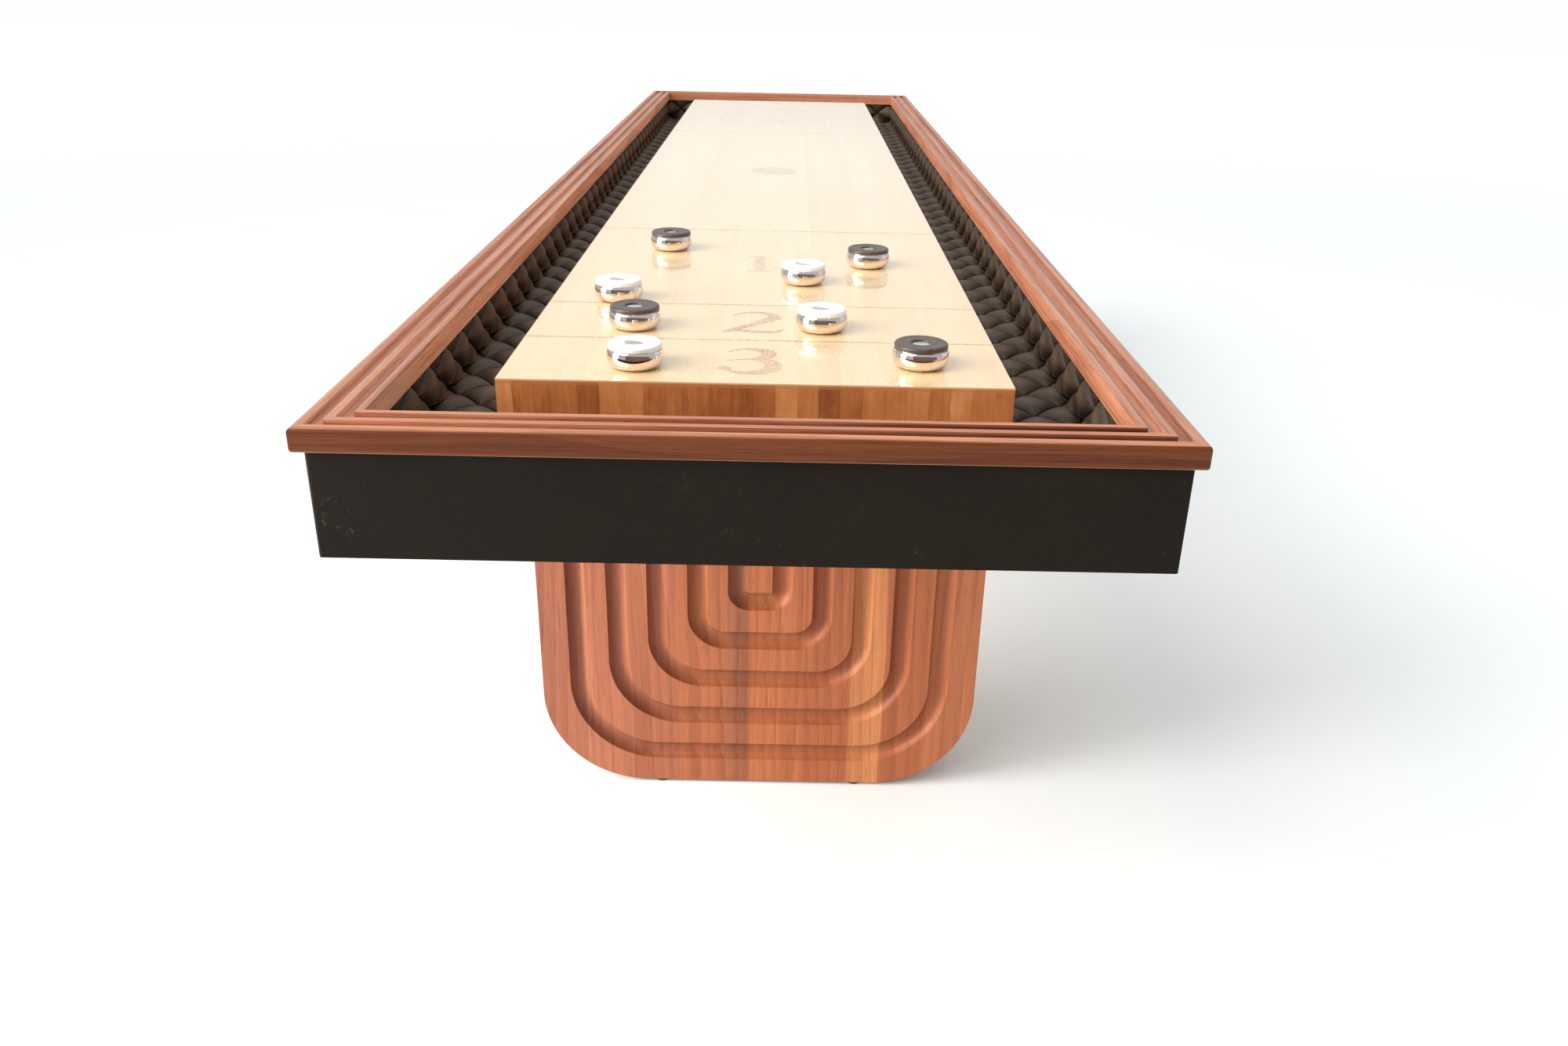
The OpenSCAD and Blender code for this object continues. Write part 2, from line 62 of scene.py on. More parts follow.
# ------------------------------------------------------------------ node helpers
class Mat:
    """A small builder for one material's nodes."""
    def __init__(self, name):
        self.m = bpy.data.materials.new(name)
        self.m.use_nodes = True
        self.t = self.m.node_tree
        self.bsdf = self.t.nodes["Principled BSDF"]
        self.out = self.t.nodes["Material Output"]
        self.obj = None
        self.x = -2000
    def node(self, kind, **props):
        n = self.t.nodes.new(kind)
        n.location = (self.x, 0)
        self.x += 20
        for k, v in props.items():
            setattr(n, k, v)
        return n
    def put(self, sock, v):
        if isinstance(v, bpy.types.NodeSocket):
            self.t.links.new(v, sock)
        elif v is not None:
            if isinstance(v, (tuple, list)) and sock.type == "RGBA" and len(v) == 3:
                v = (*v, 1)
            sock.default_value = v
    def coord(self):
        if self.obj is None:
            self.obj = self.node("ShaderNodeTexCoord").outputs["Object"]
        return self.obj
    def xyz(self, v=None):
        n = self.node("ShaderNodeSeparateXYZ")
        self.put(n.inputs[0], self.coord() if v is None else v)
        return n.outputs
    def join(self, x, y, z):
        n = self.node("ShaderNodeCombineXYZ")
        for i, v in enumerate((x, y, z)):
            self.put(n.inputs[i], v)
        return n.outputs[0]
    def math(self, op, a, b=None, c=None, clamp=False):
        n = self.node("ShaderNodeMath", operation=op, use_clamp=clamp)
        for i, v in enumerate((a, b, c)):
            if v is not None:
                self.put(n.inputs[i], v)
        return n.outputs[0]
    def mul(self, a, b): return self.math("MULTIPLY", a, b)
    def add(self, a, b): return self.math("ADD", a, b)
    def vmul(self, v, s):
        n = self.node("ShaderNodeVectorMath", operation="MULTIPLY")
        self.put(n.inputs[0], v); self.put(n.inputs[1], s)
        return n.outputs[0]
    def vadd(self, v, s):
        n = self.node("ShaderNodeVectorMath", operation="ADD")
        self.put(n.inputs[0], v); self.put(n.inputs[1], s)
        return n.outputs[0]
    def noise(self, v, scale, detail=2, rough=0.5, distortion=0.0, out="Fac"):
        n = self.node("ShaderNodeTexNoise")
        self.put(n.inputs["Vector"], v)
        n.inputs["Scale"].default_value = scale
        n.inputs["Detail"].default_value = detail
        n.inputs["Roughness"].default_value = rough
        n.inputs["Distortion"].default_value = distortion
        return n.outputs[out]
    def voronoi(self, v, scale, feature="F1", out="Distance", rand=1.0):
        n = self.node("ShaderNodeTexVoronoi", feature=feature)
        self.put(n.inputs["Vector"], v)
        n.inputs["Scale"].default_value = scale
        n.inputs["Randomness"].default_value = rand
        return n.outputs[out]
    def white(self, w):
        n = self.node("ShaderNodeTexWhiteNoise", noise_dimensions="1D")
        self.put(n.inputs["W"], w)
        return n.outputs["Value"]
    def rng(self, v, a, b, c, d, smooth=False):
        n = self.node("ShaderNodeMapRange", interpolation_type="SMOOTHSTEP" if smooth else "LINEAR")
        self.put(n.inputs[0], v)
        for i, k in enumerate((a, b, c, d)):
            self.put(n.inputs[i + 1], k)
        return n.outputs[0]
    def ramp(self, v, stops, interp="LINEAR"):
        n = self.node("ShaderNodeValToRGB")
        n.color_ramp.interpolation = interp
        e = n.color_ramp.elements
        while len(e) < len(stops):
            e.new(0.5)
        for el, (p, c) in zip(e, stops):
            el.position = p
            if isinstance(c, (int, float)):
                c = (c, c, c)
            el.color = (*c, 1)
        self.put(n.inputs[0], v)
        return n.outputs[0]
    def mix(self, f, a, b, blend="MIX"):
        n = self.node("ShaderNodeMix", data_type="RGBA", blend_type=blend)
        self.put(n.inputs[0], f); self.put(n.inputs[6], a); self.put(n.inputs[7], b)
        return n.outputs[2]
    def powder(self, c):
        """Scattered grains of playing powder: round from a low seat, with clean coat between them."""
        sp = self.voronoi(self.join(c[0], self.mul(c[1], 0.36), c[2]), 560, "F1", "Distance")
        some = self.rng(self.noise(self.join(c[0], self.mul(c[1], 0.36), c[2]), 210, 2, 0.6), 0.34, 0.48, 0, 1, True)
        return self.mul(self.rng(sp, 0.16, 0.44, 1, 0, True), some)

    def bump(self, h, strength, dist, normal=None):
        n = self.node("ShaderNodeBump")
        n.inputs["Strength"].default_value = strength
        n.inputs["Distance"].default_value = dist
        self.put(n.inputs["Height"], h)
        if normal is not None:
            self.put(n.inputs["Normal"], normal)
        return n.outputs[0]
    def set(self, **kw):
        names = {"color": "Base Color", "rough": "Roughness", "metal": "Metallic", "normal": "Normal",
                 "coat": "Coat Weight", "coat_rough": "Coat Roughness", "coat_normal": "Coat Normal",
                 "spec": "Specular IOR Level", "sheen": "Sheen Weight", "sheen_rough": "Sheen Roughness",
                 "ior": "IOR", "coat_ior": "Coat IOR", "aniso": "Anisotropic", "sss": "Subsurface Weight"}
        for k, v in kw.items():
            self.put(self.bsdf.inputs[names[k]], v)
        return self.m


def lin(r, g, b):
    """sRGB 0-255 to linear."""
    f = lambda c: c / 12.92 if c <= 0.04045 else ((c + 0.055) / 1.055) ** 2.4
    return (f(r / 255), f(g / 255), f(b / 255))


def walnut(name, grain, seed=0.0, dark=(104, 56, 34), mid=(168, 96, 62), light=(206, 134, 94),
           boards=None, streak=0.5, rough=0.42, tone=1.0, fine_amt=1.0, tint=None, face=None, broad_amt=0.42, wander=0.030, spec=0.25,
           bscale=17, depth=0.30, groove=None, long_rail=False):
    """Walnut with its grain along axis grain (0, 1, 2). boards lists (edge, tone, hue) across the face."""
    k = Mat(name)
    c = k.xyz()
    cross = [i for i in range(3) if i != grain]
    a, b, g = c[cross[0]], c[cross[1]], c[grain]
    off = seed * 3.7
    tb = hb = None
    if boards:
        wob = k.noise(k.join(a, 0.0, k.mul(g, 1.0)), 7, 2, 0.5)
        aw = k.add(a, k.mul(k.add(wob, -0.5), 0.010))
        lo, hi = boards[0][0], boards[-1][0]
        t = k.rng(aw, lo, hi, 0, 1)
        stops, hues, sats = [], [], []
        soft = 0.0016
        for i, e in enumerate(boards[:-1]):
            p0 = (e[0] - lo) / (hi - lo)
            p1 = (boards[i + 1][0] - lo) / (hi - lo)
            stops += [(min(p0 + soft, 1), e[1]), (max(p1 - soft, 0), e[1])]
            hues += [(min(p0 + soft, 1), e[2]), (max(p1 - soft, 0), e[2])]
            sats += [(min(p0 + soft, 1), e[3]), (max(p1 - soft, 0), e[3])]
        tb = k.ramp(t, stops[:32])
        hb = k.ramp(t, hues[:32])
        sb = k.ramp(t, sats[:32])
        shift = k.mul(tb, 23.7)
        a2, g2, b2 = k.add(a, k.mul(shift, 0.37)), k.add(g, k.mul(shift, 1.9)), k.add(b, k.mul(shift, 0.11))
    else:
        a2, g2, b2 = a, g, b
    # the grain drifts slowly sideways, as in a sawn board
    drift = k.noise(k.join(k.mul(a2, 1.5), k.mul(b2, 1.5), k.mul(g2, 1.1)), 2.2, 2, 0.5)
    ad = k.add(a2, k.mul(k.add(drift, -0.5), wander))
    b3 = k.mul(b2, depth)
    broad = k.noise(k.join(k.add(ad, off), b3, k.mul(g2, 0.05 * 17 / bscale)), bscale, 2, 0.5)
    midf = k.noise(k.join(k.add(ad, off + 5), b3, k.mul(g2, 0.020)), 130, 3, 0.6)
    midf = k.rng(midf, 0.36, 0.64, 0, 1, True)
    fine = k.noise(k.join(k.add(ad, off + 9), b3, k.mul(g2, 0.014)), 430, 3, 0.65)
    fine = k.rng(fine, 0.36, 0.64, 0, 1, True)
    # growth rings, sharp on one side
    rp = k.add(k.mul(ad, 52), k.add(k.mul(b2, 16), k.mul(k.noise(k.join(k.mul(ad, 3), b3, k.mul(g2, 0.22)), 3.0, 2), 7.0)))
    ring = k.math("POWER", k.math("FRACT", rp), 2.2)
    v = k.add(k.add(k.add(k.mul(broad, broad_amt), 0.5 * (0.42 - broad_amt)), k.mul(midf, 0.10 * fine_amt)), k.add(k.mul(fine, 0.10 * fine_amt), k.mul(ring, -0.09)))
    v = k.rng(v, 0.03, 0.47, 0, 1)
    col = k.ramp(v, [(0.0, lin(*dark)), (0.22, lin(*[(d * 0.55 + m * 0.45) for d, m in zip(dark, mid)])),
                     (0.52, lin(*mid)), (1.0, lin(*light))])
    st = k.noise(k.join(k.add(ad, off + 11), b3, k.mul(g2, 0.045)), 26, 3, 0.55)
    st = k.rng(st, 0.58, 0.70, 0, 1, True)
    col = k.mix(k.mul(st, streak), col, lin(*[d * 0.86 for d in dark]))
    # open pores: short dark dashes along the grain
    pore = k.noise(k.join(ad, b3, k.mul(g2, 0.024)), 1350, 1, 0.4)
    pore = k.rng(pore, 0.60, 0.70, 0, 1, True)
    col = k.mix(k.mul(pore, 0.34), col, lin(*[d * 0.62 for d in dark]))
    if tb is not None:
        hsv = k.node("ShaderNodeHueSaturation")
        k.put(hsv.inputs["Color"], col)
        k.put(hsv.inputs["Value"], k.rng(tb, 0, 1, 0.55, 1.35))
        k.put(hsv.inputs["Hue"], k.rng(hb, 0, 1, 0.488, 0.516))
        k.put(hsv.inputs["Saturation"], sb)
        col = hsv.outputs[0]
        # painted shade in the coves, strongest on walls that face right and on the left of the leg
        ay = k.math("ABSOLUTE", c[1])
        deep = k.math("MINIMUM", k.add(k.mul(ay, -1.0), 0.9466), k.add(ay, -0.8266))
        tn = k.xyz(k.node("ShaderNodeNewGeometry").outputs["True Normal"])
        cove_shade = k.mul(k.rng(deep, 0.0004, 0.0022, 0, 1, True), k.rng(k.math("ABSOLUTE", tn[1]), 0.10, 0.20, 0, 1))
        cove_shade = k.mul(k.mul(cove_shade, k.rng(tn[0], -0.40, 0.50, 0.10, 1.0)), k.rng(c[0], -0.24, 0.20, 1.0, 0.30))
        col = k.mix(cove_shade, col, k.mix(1.0, col, (0.56, 0.49, 0.47), "MULTIPLY"))
    if tone != 1.0 or tint:
        col = k.mix(1.0, col, tuple(tone * t for t in (tint or (1, 1, 1))), "MULTIPLY")
    if groove:
        # painted shade in the two grooves, below the top
        e = k.add(k.math("ABSOLUTE", c[groove[0]]), -groove[1])
        low = k.rng(c[2], 0.7868, 0.7892, 1, 0, True)
        inside = k.mul(k.rng(e, 0.0030, 0.0040, 0, 1), k.rng(e, 0.0455, 0.0470, 1, 0))
        if long_rail:
            # on the long rails only the outer groove of the right one gets painted shade
            outer = k.mul(k.rng(e, 0.0240, 0.0260, 0, 1), k.math("GREATER_THAN", c[0], 0.0))
            col = k.mix(k.mul(k.mul(low, inside), outer), col, k.mix(1.0, col, (0.83, 0.76, 0.74), "MULTIPLY"))
        else:
            # on the end rails the painted shade grows towards the right
            amt = k.mul(k.mul(low, inside), k.rng(c[0], -0.22, 0.30, 0.36, 1.0))
            col = k.mix(amt, col, k.mix(1.0, col, (0.46, 0.35, 0.30), "MULTIPLY"))
            # painted shade on the steps that face outwards, darker towards the right
            gn = k.xyz(k.node("ShaderNodeNewGeometry").outputs["True Normal"])
            out = k.rng(k.mul(gn[1], k.math("SIGN", c[1])), 0.35, 0.70, 0, 1, True)
            amt = k.mul(k.mul(out, k.rng(e, 0.0030, 0.0040, 0, 1)), k.mul(k.rng(e, 0.0455, 0.0470, 1, 0), k.rng(c[0], -0.16, 0.28, 0.0, 1.0)))
            col = k.mix(amt, col, k.mix(1.0, col, (0.50, 0.44, 0.44), "MULTIPLY"))
    if long_rail:
        # painted shade on the tops, and painted light and shade on the inner faces below
        tn = k.xyz(k.node("ShaderNodeNewGeometry").outputs["True Normal"])
        col = k.mix(k.rng(tn[2], 0.55, 0.90, 0, 1, True), col, k.mix(1.0, col, (0.80, 0.745, 0.71), "MULTIPLY"))
        # painted light on the left rail's inner face
        inl = k.mul(k.rng(tn[0], 0.5, 0.8, 0, 1, True), k.math("LESS_THAN", c[0], 0.0))
        col = k.mix(inl, col, k.mix(1.0, col, (1.42, 1.50, 1.40), "MULTIPLY"))
        # painted shade on the right rail's inner face, with a painted warm highlight along its edge
        inr = k.mul(k.rng(tn[0], -0.8, -0.5, 1, 0, True), k.math("GREATER_THAN", c[0], 0.0))
        rim = k.rng(e, 0.0012, 0.0026, 1, 0)
        col = k.mix(inr, col, k.mix(1.0, col, (0.80, 0.80, 0.80), "MULTIPLY"))
        col = k.mix(k.mul(inr, rim), col, k.mix(1.0, col, (1.28, 1.08, 0.96), "MULTIPLY"))
    if face:
        # the outer face is darker, above a pale line at its foot
        ax, at = face
        m = k.rng(k.math("ABSOLUTE", c[ax]), at - 0.0030, at - 0.0006, 0, 1, True)
        foot = k.rng(c[2], 0.7676, 0.7690, 1, 0, True)
        col = k.mix(m, col, k.mix(1.0, col, (0.25, 0.148, 0.060), "MULTIPLY"))
        col = k.mix(k.mul(k.mul(m, foot), 0.55), col, lin(*light))
    hgt = k.add(k.mul(fine, 0.5), k.mul(pore, -1.0))
    nrm = k.bump(hgt, 0.16, 0.0005)
    r = k.rng(fine, 0.0, 1.0, rough - 0.05, rough + 0.07)
    return k.set(color=col, rough=r, normal=nrm, spec=spec)


def leather(name, base, hi, grain_scale=620, bump=0.35, rough=(0.42, 0.58), scuffs=False, spec=0.45, lift=False):
    k = Mat(name)
    v = k.coord()
    cells = k.voronoi(v, grain_scale, "F1", "Distance")
    cells2 = k.voronoi(v, grain_scale * 0.45, "SMOOTH_F1", "Distance")
    n1 = k.noise(v, 9, 4, 0.6)
    n2 = k.noise(v, 60, 4, 0.6)
    t = k.rng(k.add(k.mul(n1, 0.6), k.mul(n2, 0.4)), 0.35, 0.68, 0, 1)
    col = k.mix(t, lin(*base), lin(*hi))
    crev = k.rng(cells, 0.0, 0.45, 0.0, 1.0, True)
    col = k.mix(k.mul(crev, 0.22), col, lin(*[c * 1.5 for c in hi]))
    if lift:
        col = k.mix(k.rng(k.noise(v, 330, 3, 0.7), 0.42, 0.62, 0.0, 0.45), col, lin(*[c * 0.55 for c in base]))
    rr = k.rng(n2, 0.3, 0.7, rough[0], rough[1])
    if lift:
        # painted shade in the valleys along the seams
        at = k.node("ShaderNodeAttribute", attribute_name="lift").outputs["Fac"]
        low = k.rng(at, 0.02, 0.34, 1, 0, True)
        top = k.rng(at, 0.62, 1.0, 0, 1, True)
        col = k.mix(k.mul(low, 0.86), col, lin(16, 12, 9))
        # painted shade at the foot of the wall pads
        nz = k.math("ABSOLUTE", k.xyz(k.node("ShaderNodeNewGeometry").outputs["True Normal"])[2])
        foot = k.mul(k.rng(k.xyz(v)[2], 0.714, 0.752, 1, 0, True), k.rng(nz, 0.45, 0.75, 1, 0, True))
        col = k.mix(k.mul(foot, 0.86), col, lin(13, 11, 8))
        # painted highlight on the crowns
        col = k.mix(k.mul(top, 0.60), col, lin(*[min(255, c * 1.42) for c in hi]))
    if scuffs:
        s1 = k.noise(v, 26, 5, 0.75, 1.2)
        s2 = k.noise(v, 300, 3, 0.7)
        patch = k.noise(v, 3.2, 2, 0.5)
        m = k.mul(k.rng(s1, 0.60, 0.72, 0, 1, True), k.mul(k.rng(s2, 0.45, 0.62, 0, 1, True), k.rng(patch, 0.45, 0.62, 0, 1, True)))
        col = k.mix(k.mul(m, 0.55), col, lin(128, 112, 100))
    h = k.add(k.add(k.mul(cells, 0.55), k.mul(cells2, 0.45)), k.mul(n2, 0.25))
    nrm = k.bump(h, bump, 0.0005)
    return k.set(color=col, rough=rr, normal=nrm, spec=spec)


def maple_top():
    k = Mat("maple_clear_coat")
    c = k.xyz()
    idx = k.math("FLOOR", k.mul(c[0], 1 / 0.0212))
    rnd = k.white(k.add(idx, 0.37))
    rnd2 = k.white(k.add(idx, 17.9))
    seg = k.math("FLOOR", k.add(k.mul(c[1], 1 / 0.62), k.mul(rnd2, 7.0)))
    rnd3 = k.white(k.add(seg, k.mul(idx, 7.13)))
    p = k.join(k.add(c[0], k.mul(rnd, 3.0)), c[2], k.mul(c[1], 0.07))
    g1 = k.noise(p, 60, 4, 0.6, 0.4)
    g2 = k.noise(k.join(c[0], c[2], k.mul(c[1], 0.03)), 600, 2, 0.5)
    v = k.add(k.add(k.mul(g1, 0.60), k.mul(g2, 0.20)), k.add(k.mul(rnd, 0.14), k.mul(rnd3, 0.10)))
    v = k.rng(v, 0.26, 0.80, 0, 1)
    col = k.ramp(v, [(0, lin(244, 200, 144)), (0.5, lin(251, 213, 158)), (1, lin(253, 222, 172))])
    # the coat's own edge, seen at the ends
    endm = k.rng(k.math("ABSOLUTE", c[1]), 1.3706, 1.3712, 0, 1)
    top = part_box("playfield_topcoat")[1]
    strip = k.white(k.add(k.math("FLOOR", k.mul(k.add(c[0], k.mul(k.noise(k.join(c[0], c[1], c[2]), 20, 1, 0.5), 0.004)), 1 / 0.0215)), 4.7))
    under = k.ramp(k.add(k.mul(strip, 0.5), 0.25), [(0, lin(172, 96, 52)), (0.5, lin(208, 128, 74)), (1, lin(234, 160, 102))])
    skin = k.rng(c[2], top[2] - 0.0022, top[2] - 0.0009, 0, 1, True)
    col = k.mix(endm, col, k.mix(skin, under, lin(244, 190, 140)))
    sidem = k.rng(k.math("ABSOLUTE", c[0]), top[0] - 0.0008, top[0] - 0.0003, 0, 1)
    col = k.mix(sidem, col, k.mix(skin, lin(204, 126, 74), lin(244, 190, 140)))
    # the printed lines feather out into broken edges
    ay = k.math("ABSOLUTE", c[1])
    band = 0.0
    for y in (1.2192, 1.0668, 0.6096):
        band = k.math("MAXIMUM", k.rng(k.math("ABSOLUTE", k.add(ay, -y)), 0.0026, 0.0036, 1, 0), band)
    broken = k.rng(k.noise(k.coord(), 260, 3, 0.8), 0.45, 0.56, 0, 1, True)
    col = k.mix(k.mul(k.mul(band, broken), 0.55), col, lin(204, 138, 108))
    # powder: fine speckles that break up what the coat mirrors
    beads = k.mul(k.powder(c), k.rng(c[2], top[2] - 0.0006, top[2] - 0.0002, 0, 1))
    col = k.mix(k.mul(beads, 0.60), col, lin(255, 240, 206))
    n = k.bump(beads, 0.62, 0.0006)
    return k.set(color=col, rough=0.32, spec=0.5, coat=1.0, coat_rough=0.045, coat_ior=1.85, coat_normal=n, normal=k.bump(g2, 0.05, 0.0003))


def board_side():
    """Edge-glued strips: they show on the ends as bands 20 mm wide, and run the length of the sides."""
    k = Mat("laminated_board")
    c = k.xyz()
    warp = k.mul(k.noise(k.join(c[0], c[1], c[2]), 20, 1, 0.5), 0.004)
    xx = k.add(c[0], warp)
    idx = k.math("FLOOR", k.mul(xx, 1 / 0.0215))
    rnd = k.white(k.add(idx, 4.7))
    rnd2 = k.white(k.add(idx, 31.3))
    a = k.noise(k.join(k.add(c[0], k.mul(rnd2, 5)), k.mul(c[1], 0.05), k.mul(c[2], 0.10)), 210, 4, 0.65)
    b = k.noise(k.join(k.add(c[0], k.mul(rnd, 9)), k.mul(c[1], 0.04), k.mul(c[2], 0.55)), 46, 3, 0.6)
    v = k.add(k.mul(rnd, 0.40), k.add(k.mul(a, 0.34), k.mul(b, 0.40)))
    v = k.rng(v, 0.22, 0.86, 0, 1)
    col = k.ramp(v, [(0, lin(124, 66, 36)), (0.3, lin(172, 96, 52)), (0.55, lin(202, 120, 66)), (0.8, lin(220, 138, 82)), (1, lin(234, 160, 102))])
    fr = k.math("FRACT", k.mul(xx, 1 / 0.0215))
    edge = k.rng(k.math("ABSOLUTE", k.add(fr, -0.5)), 0.40, 0.5, 0, 1, True)
    col = k.mix(k.mul(edge, 0.12), col, lin(88, 46, 26))
    return k.set(color=col, rough=0.34, spec=0.5, coat=0.5, coat_rough=0.12, normal=k.bump(a, 0.10, 0.0005))


def plain(name, base, rough, metal=0.0, vary=0.06, scale=40, bump=0.02, spec=0.5, coat=0.0, coat_rough=0.05, grain=900):
    k = Mat(name)
    v = k.coord()
    n = k.noise(v, scale, 4, 0.6)
    col = k.mix(k.rng(n, 0.35, 0.65, 0, 1), [c * (1 - vary) for c in lin(*base)], [min(1, c * (1 + vary)) for c in lin(*base)])
    f = k.noise(v, grain, 2, 0.5)
    return k.set(color=col, rough=k.rng(n, 0.3, 0.7, max(0.01, rough - 0.03), rough + 0.03), metal=metal, spec=spec,
                 normal=k.bump(f, bump, 0.0003), coat=coat, coat_rough=coat_rough)


def plywood(name):
    k = Mat(name)
    c = k.xyz()
    g = k.noise(k.join(c[0], k.mul(c[1], 0.08), k.mul(c[2], 1.0)), 60, 4, 0.6, 0.5)
    col = k.ramp(g, [(0.3, lin(178, 138, 96)), (0.5, lin(204, 166, 120)), (0.7, lin(222, 188, 146))])
    return k.set(color=col, rough=0.62, normal=k.bump(g, 0.08, 0.0006))


def ink(name):
    """Faded printed ink, worn through by powder and play so that its edges break up, and paler towards the far end as a
    painted reflection.
    """
    k = Mat(name)
    v = k.coord()
    w = k.noise(v, 520, 3, 0.8)
    w2 = k.noise(v, 30, 3, 0.6)
    beads = k.powder(k.xyz())
    m = k.mul(k.rng(k.add(k.mul(w, 0.72), k.mul(w2, 0.28)), 0.41, 0.53, 0, 1, True), k.rng(beads, 0.2, 0.7, 1, 0.25))
    dens = k.rng(k.noise(k.vadd(v, (3, 1, 0)), 8, 2), 0.35, 0.65, 0.55, 1.0)
    # painted reflection: the marks grow paler towards the far end
    dens = k.mul(dens, k.rng(k.xyz()[1], -0.6, 0.9, 1.0, 0.45))
    col = k.mix(k.mul(m, dens), lin(250, 213, 160), lin(188, 116, 82))
    n = k.bump(beads, 0.62, 0.0006)
    return k.set(color=col, rough=0.32, coat=1.0, coat_rough=0.045, coat_ior=1.85, coat_normal=n)


# edge across the face, tone, hue, saturation
LEG_BOARDS = [(-0.321, 0.48, 0.34, 0.92), (-0.252, 0.46, 0.34, 0.93), (-0.190, 0.44, 0.36, 0.95), (-0.121, 0.54, 0.46, 0.98),
              (-0.047, 0.30, 0.45, 0.95), (-0.016, 0.50, 0.5, 1.0), (0.066, 0.46, 0.42, 1.0), (0.136, 0.96, 0.82, 0.97),
              (0.184, 0.54, 0.42, 1.0), (0.250, 0.60, 0.48, 0.98), (0.321, 0.5, 0.5, 1.0)]
M = {
    "rail_x": walnut("walnut_rail_x", 0, 1.3, streak=0.12, face=(1, 1.5445), broad_amt=0.30, mid=(184, 117, 84), light=(217, 152, 116),
                     dark=(112, 64, 42), wander=0.006, spec=0.24, bscale=85, depth=1.0, fine_amt=1.2, groove=(1, 1.4935)),
    "rail_y": walnut("walnut_rail_y", 1, 2.1, streak=0.08, face=(0, 0.3925), broad_amt=0.30, mid=(197, 134, 104), light=(226, 170, 141),
                     dark=(120, 72, 52), wander=0.005, spec=0.5, bscale=85, depth=1.0, fine_amt=1.2, groove=(0, 0.3415), long_rail=True),
    "leg": walnut("walnut_leg", 2, 0.4, boards=LEG_BOARDS, streak=0.10, fine_amt=0.40, broad_amt=0.38, dark=(128, 70, 44), mid=(170, 98, 64), light=(200, 127, 88), wander=0.022, tint=(1.06, 1.03, 0.965)),
    "core": walnut("walnut_core", 2, 5.4, streak=0.4, tone=0.9),
    "top": maple_top(),
    "board": board_side(),
    "ink": ink("faded_ink_and_sheen"),
    "apron": leather("apron_leather", (19, 14, 9), (28, 22, 15), 520, 0.22, (0.50, 0.62), scuffs=True, spec=0.10),
    "quilt": leather("quilted_leather", (41, 32, 24), (80, 66, 52), 700, 0.85, (0.42, 0.58), spec=0.30, lift=True),
    "steel": plain("zinc_steel", (172, 174, 176), 0.34, 1.0, 0.08, 60, 0.05),
    "brass": plain("brass", (196, 160, 92), 0.30, 1.0, 0.05, 60, 0.04),
    "glide": plain("nylon_glide", (92, 84, 76), 0.45, 0.0, 0.04, 80, 0.05),
    "chrome": plain("chrome", (238, 226, 221), 0.045, 1.0, 0.02, 90, 0.006),
    "black": plain("black_cap", (82, 65, 58), 0.38, 0.0, 0.22, 120, 0.10, spec=0.6, grain=1600),
    "white": plain("white_cap", (250, 248, 245), 0.16, 0.0, 0.015, 60, 0.01, spec=0.5, coat=0.3),
    "ply": plywood("birch_plywood"),
}


def dress(node, mat, bevel=0.0, seg=2, angle=35):
    o = NODES[node]
    o.data.materials.clear()
    o.data.materials.append(mat)
    for p in o.data.polygons:
        p.material_index = 0
    if bevel:
        b = o.modifiers.new("edge", "BEVEL")
        b.width = bevel
        b.segments = seg
        b.limit_method = "ANGLE"
        b.angle_limit = math.radians(angle)
        b.harden_normals = False
        b.use_clamp_overlap = True
    return o

for n in NODES:
    if n.startswith("cradle_") or n in ("gutter_floor_boards", "playfield_supports"):
        dress(n, M["ply"])
    elif n.startswith("adjuster") or n == "pedestal_bolts" or n.startswith("leveller_stud"):
        dress(n, M["steel"])
    elif n.endswith("_inserts"):
        dress(n, M["brass"])
    elif n.startswith("leveller_pad"):
        dress(n, M["glide"])
    elif n.startswith("pedestal_") and n.endswith("_core"):
        dress(n, M["core"])
    elif n.startswith("pedestal_"):
        dress(n, M["leg"])
dress("playfield_block", M["board"])
dress("playfield_topcoat", M["top"], 0.0012, 3)
dress("scoring_marks", M["ink"])
dress("rail_left", M["rail_y"], 0.0006, 2)
dress("rail_right", M["rail_y"], 0.0006, 2)
dress("rail_near", M["rail_x"], 0.0006, 2)
dress("rail_far", M["rail_x"], 0.0006, 2)
dress("apron_leather", M["apron"], 0.0015, 3)


def new_object(name, bm, mat, body="table", smooth_angle=None, lift=None):
    me = bpy.data.meshes.new(name)
    bm.normal_update()
    bm.to_mesh(me)
    bm.free()
    if lift:
        o0, n0, hh = lift
        att = me.attributes.new("lift", "FLOAT", "POINT")
        att.data.foreach_set("value", [max(0.0, (v.co - o0).dot(n0) / hh) for v in me.vertices])
    me.materials.append(mat)
    o = bpy.data.objects.new(name, me)
    scene.collection.objects.link(o)
    for p in me.polygons:
        p.use_smooth = True
    if smooth_angle:
        me.set_sharp_from_angle(angle=math.radians(smooth_angle))
    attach(o, body)
    return o


# ------------------------------------------------------------------ weights
def lathe(profile, n=96):
    """profile: (radius, z) from the axis round to the axis or closed; returns a bmesh."""
    bm = bmesh.new()
    rings = []
    for r, z in profile:
        if r < 1e-7:
            rings.append([bm.verts.new((0, 0, z))])
        else:
            rings.append([bm.verts.new((r * math.cos(2 * math.pi * i / n), r * math.sin(2 * math.pi * i / n), z)) for i in range(n)])
    def span(a, b):
        for i in range(n):
            j = (i + 1) % n
            if len(a) == 1 and len(b) == 1:
                return
            if len(a) == 1:
                bm.faces.new((a[0], b[i], b[j]))
            elif len(b) == 1:
                bm.faces.new((a[i], b[0], a[j]))
            else:
                bm.faces.new((a[i], b[i], b[j], a[j]))
    for a, b in zip(rings, rings[1:]):
        span(a, b)
    if len(rings[0]) > 1 and len(rings[-1]) > 1:
        span(rings[-1], rings[0])
    bmesh.ops.recalc_face_normals(bm, faces=bm.faces)
    return bm


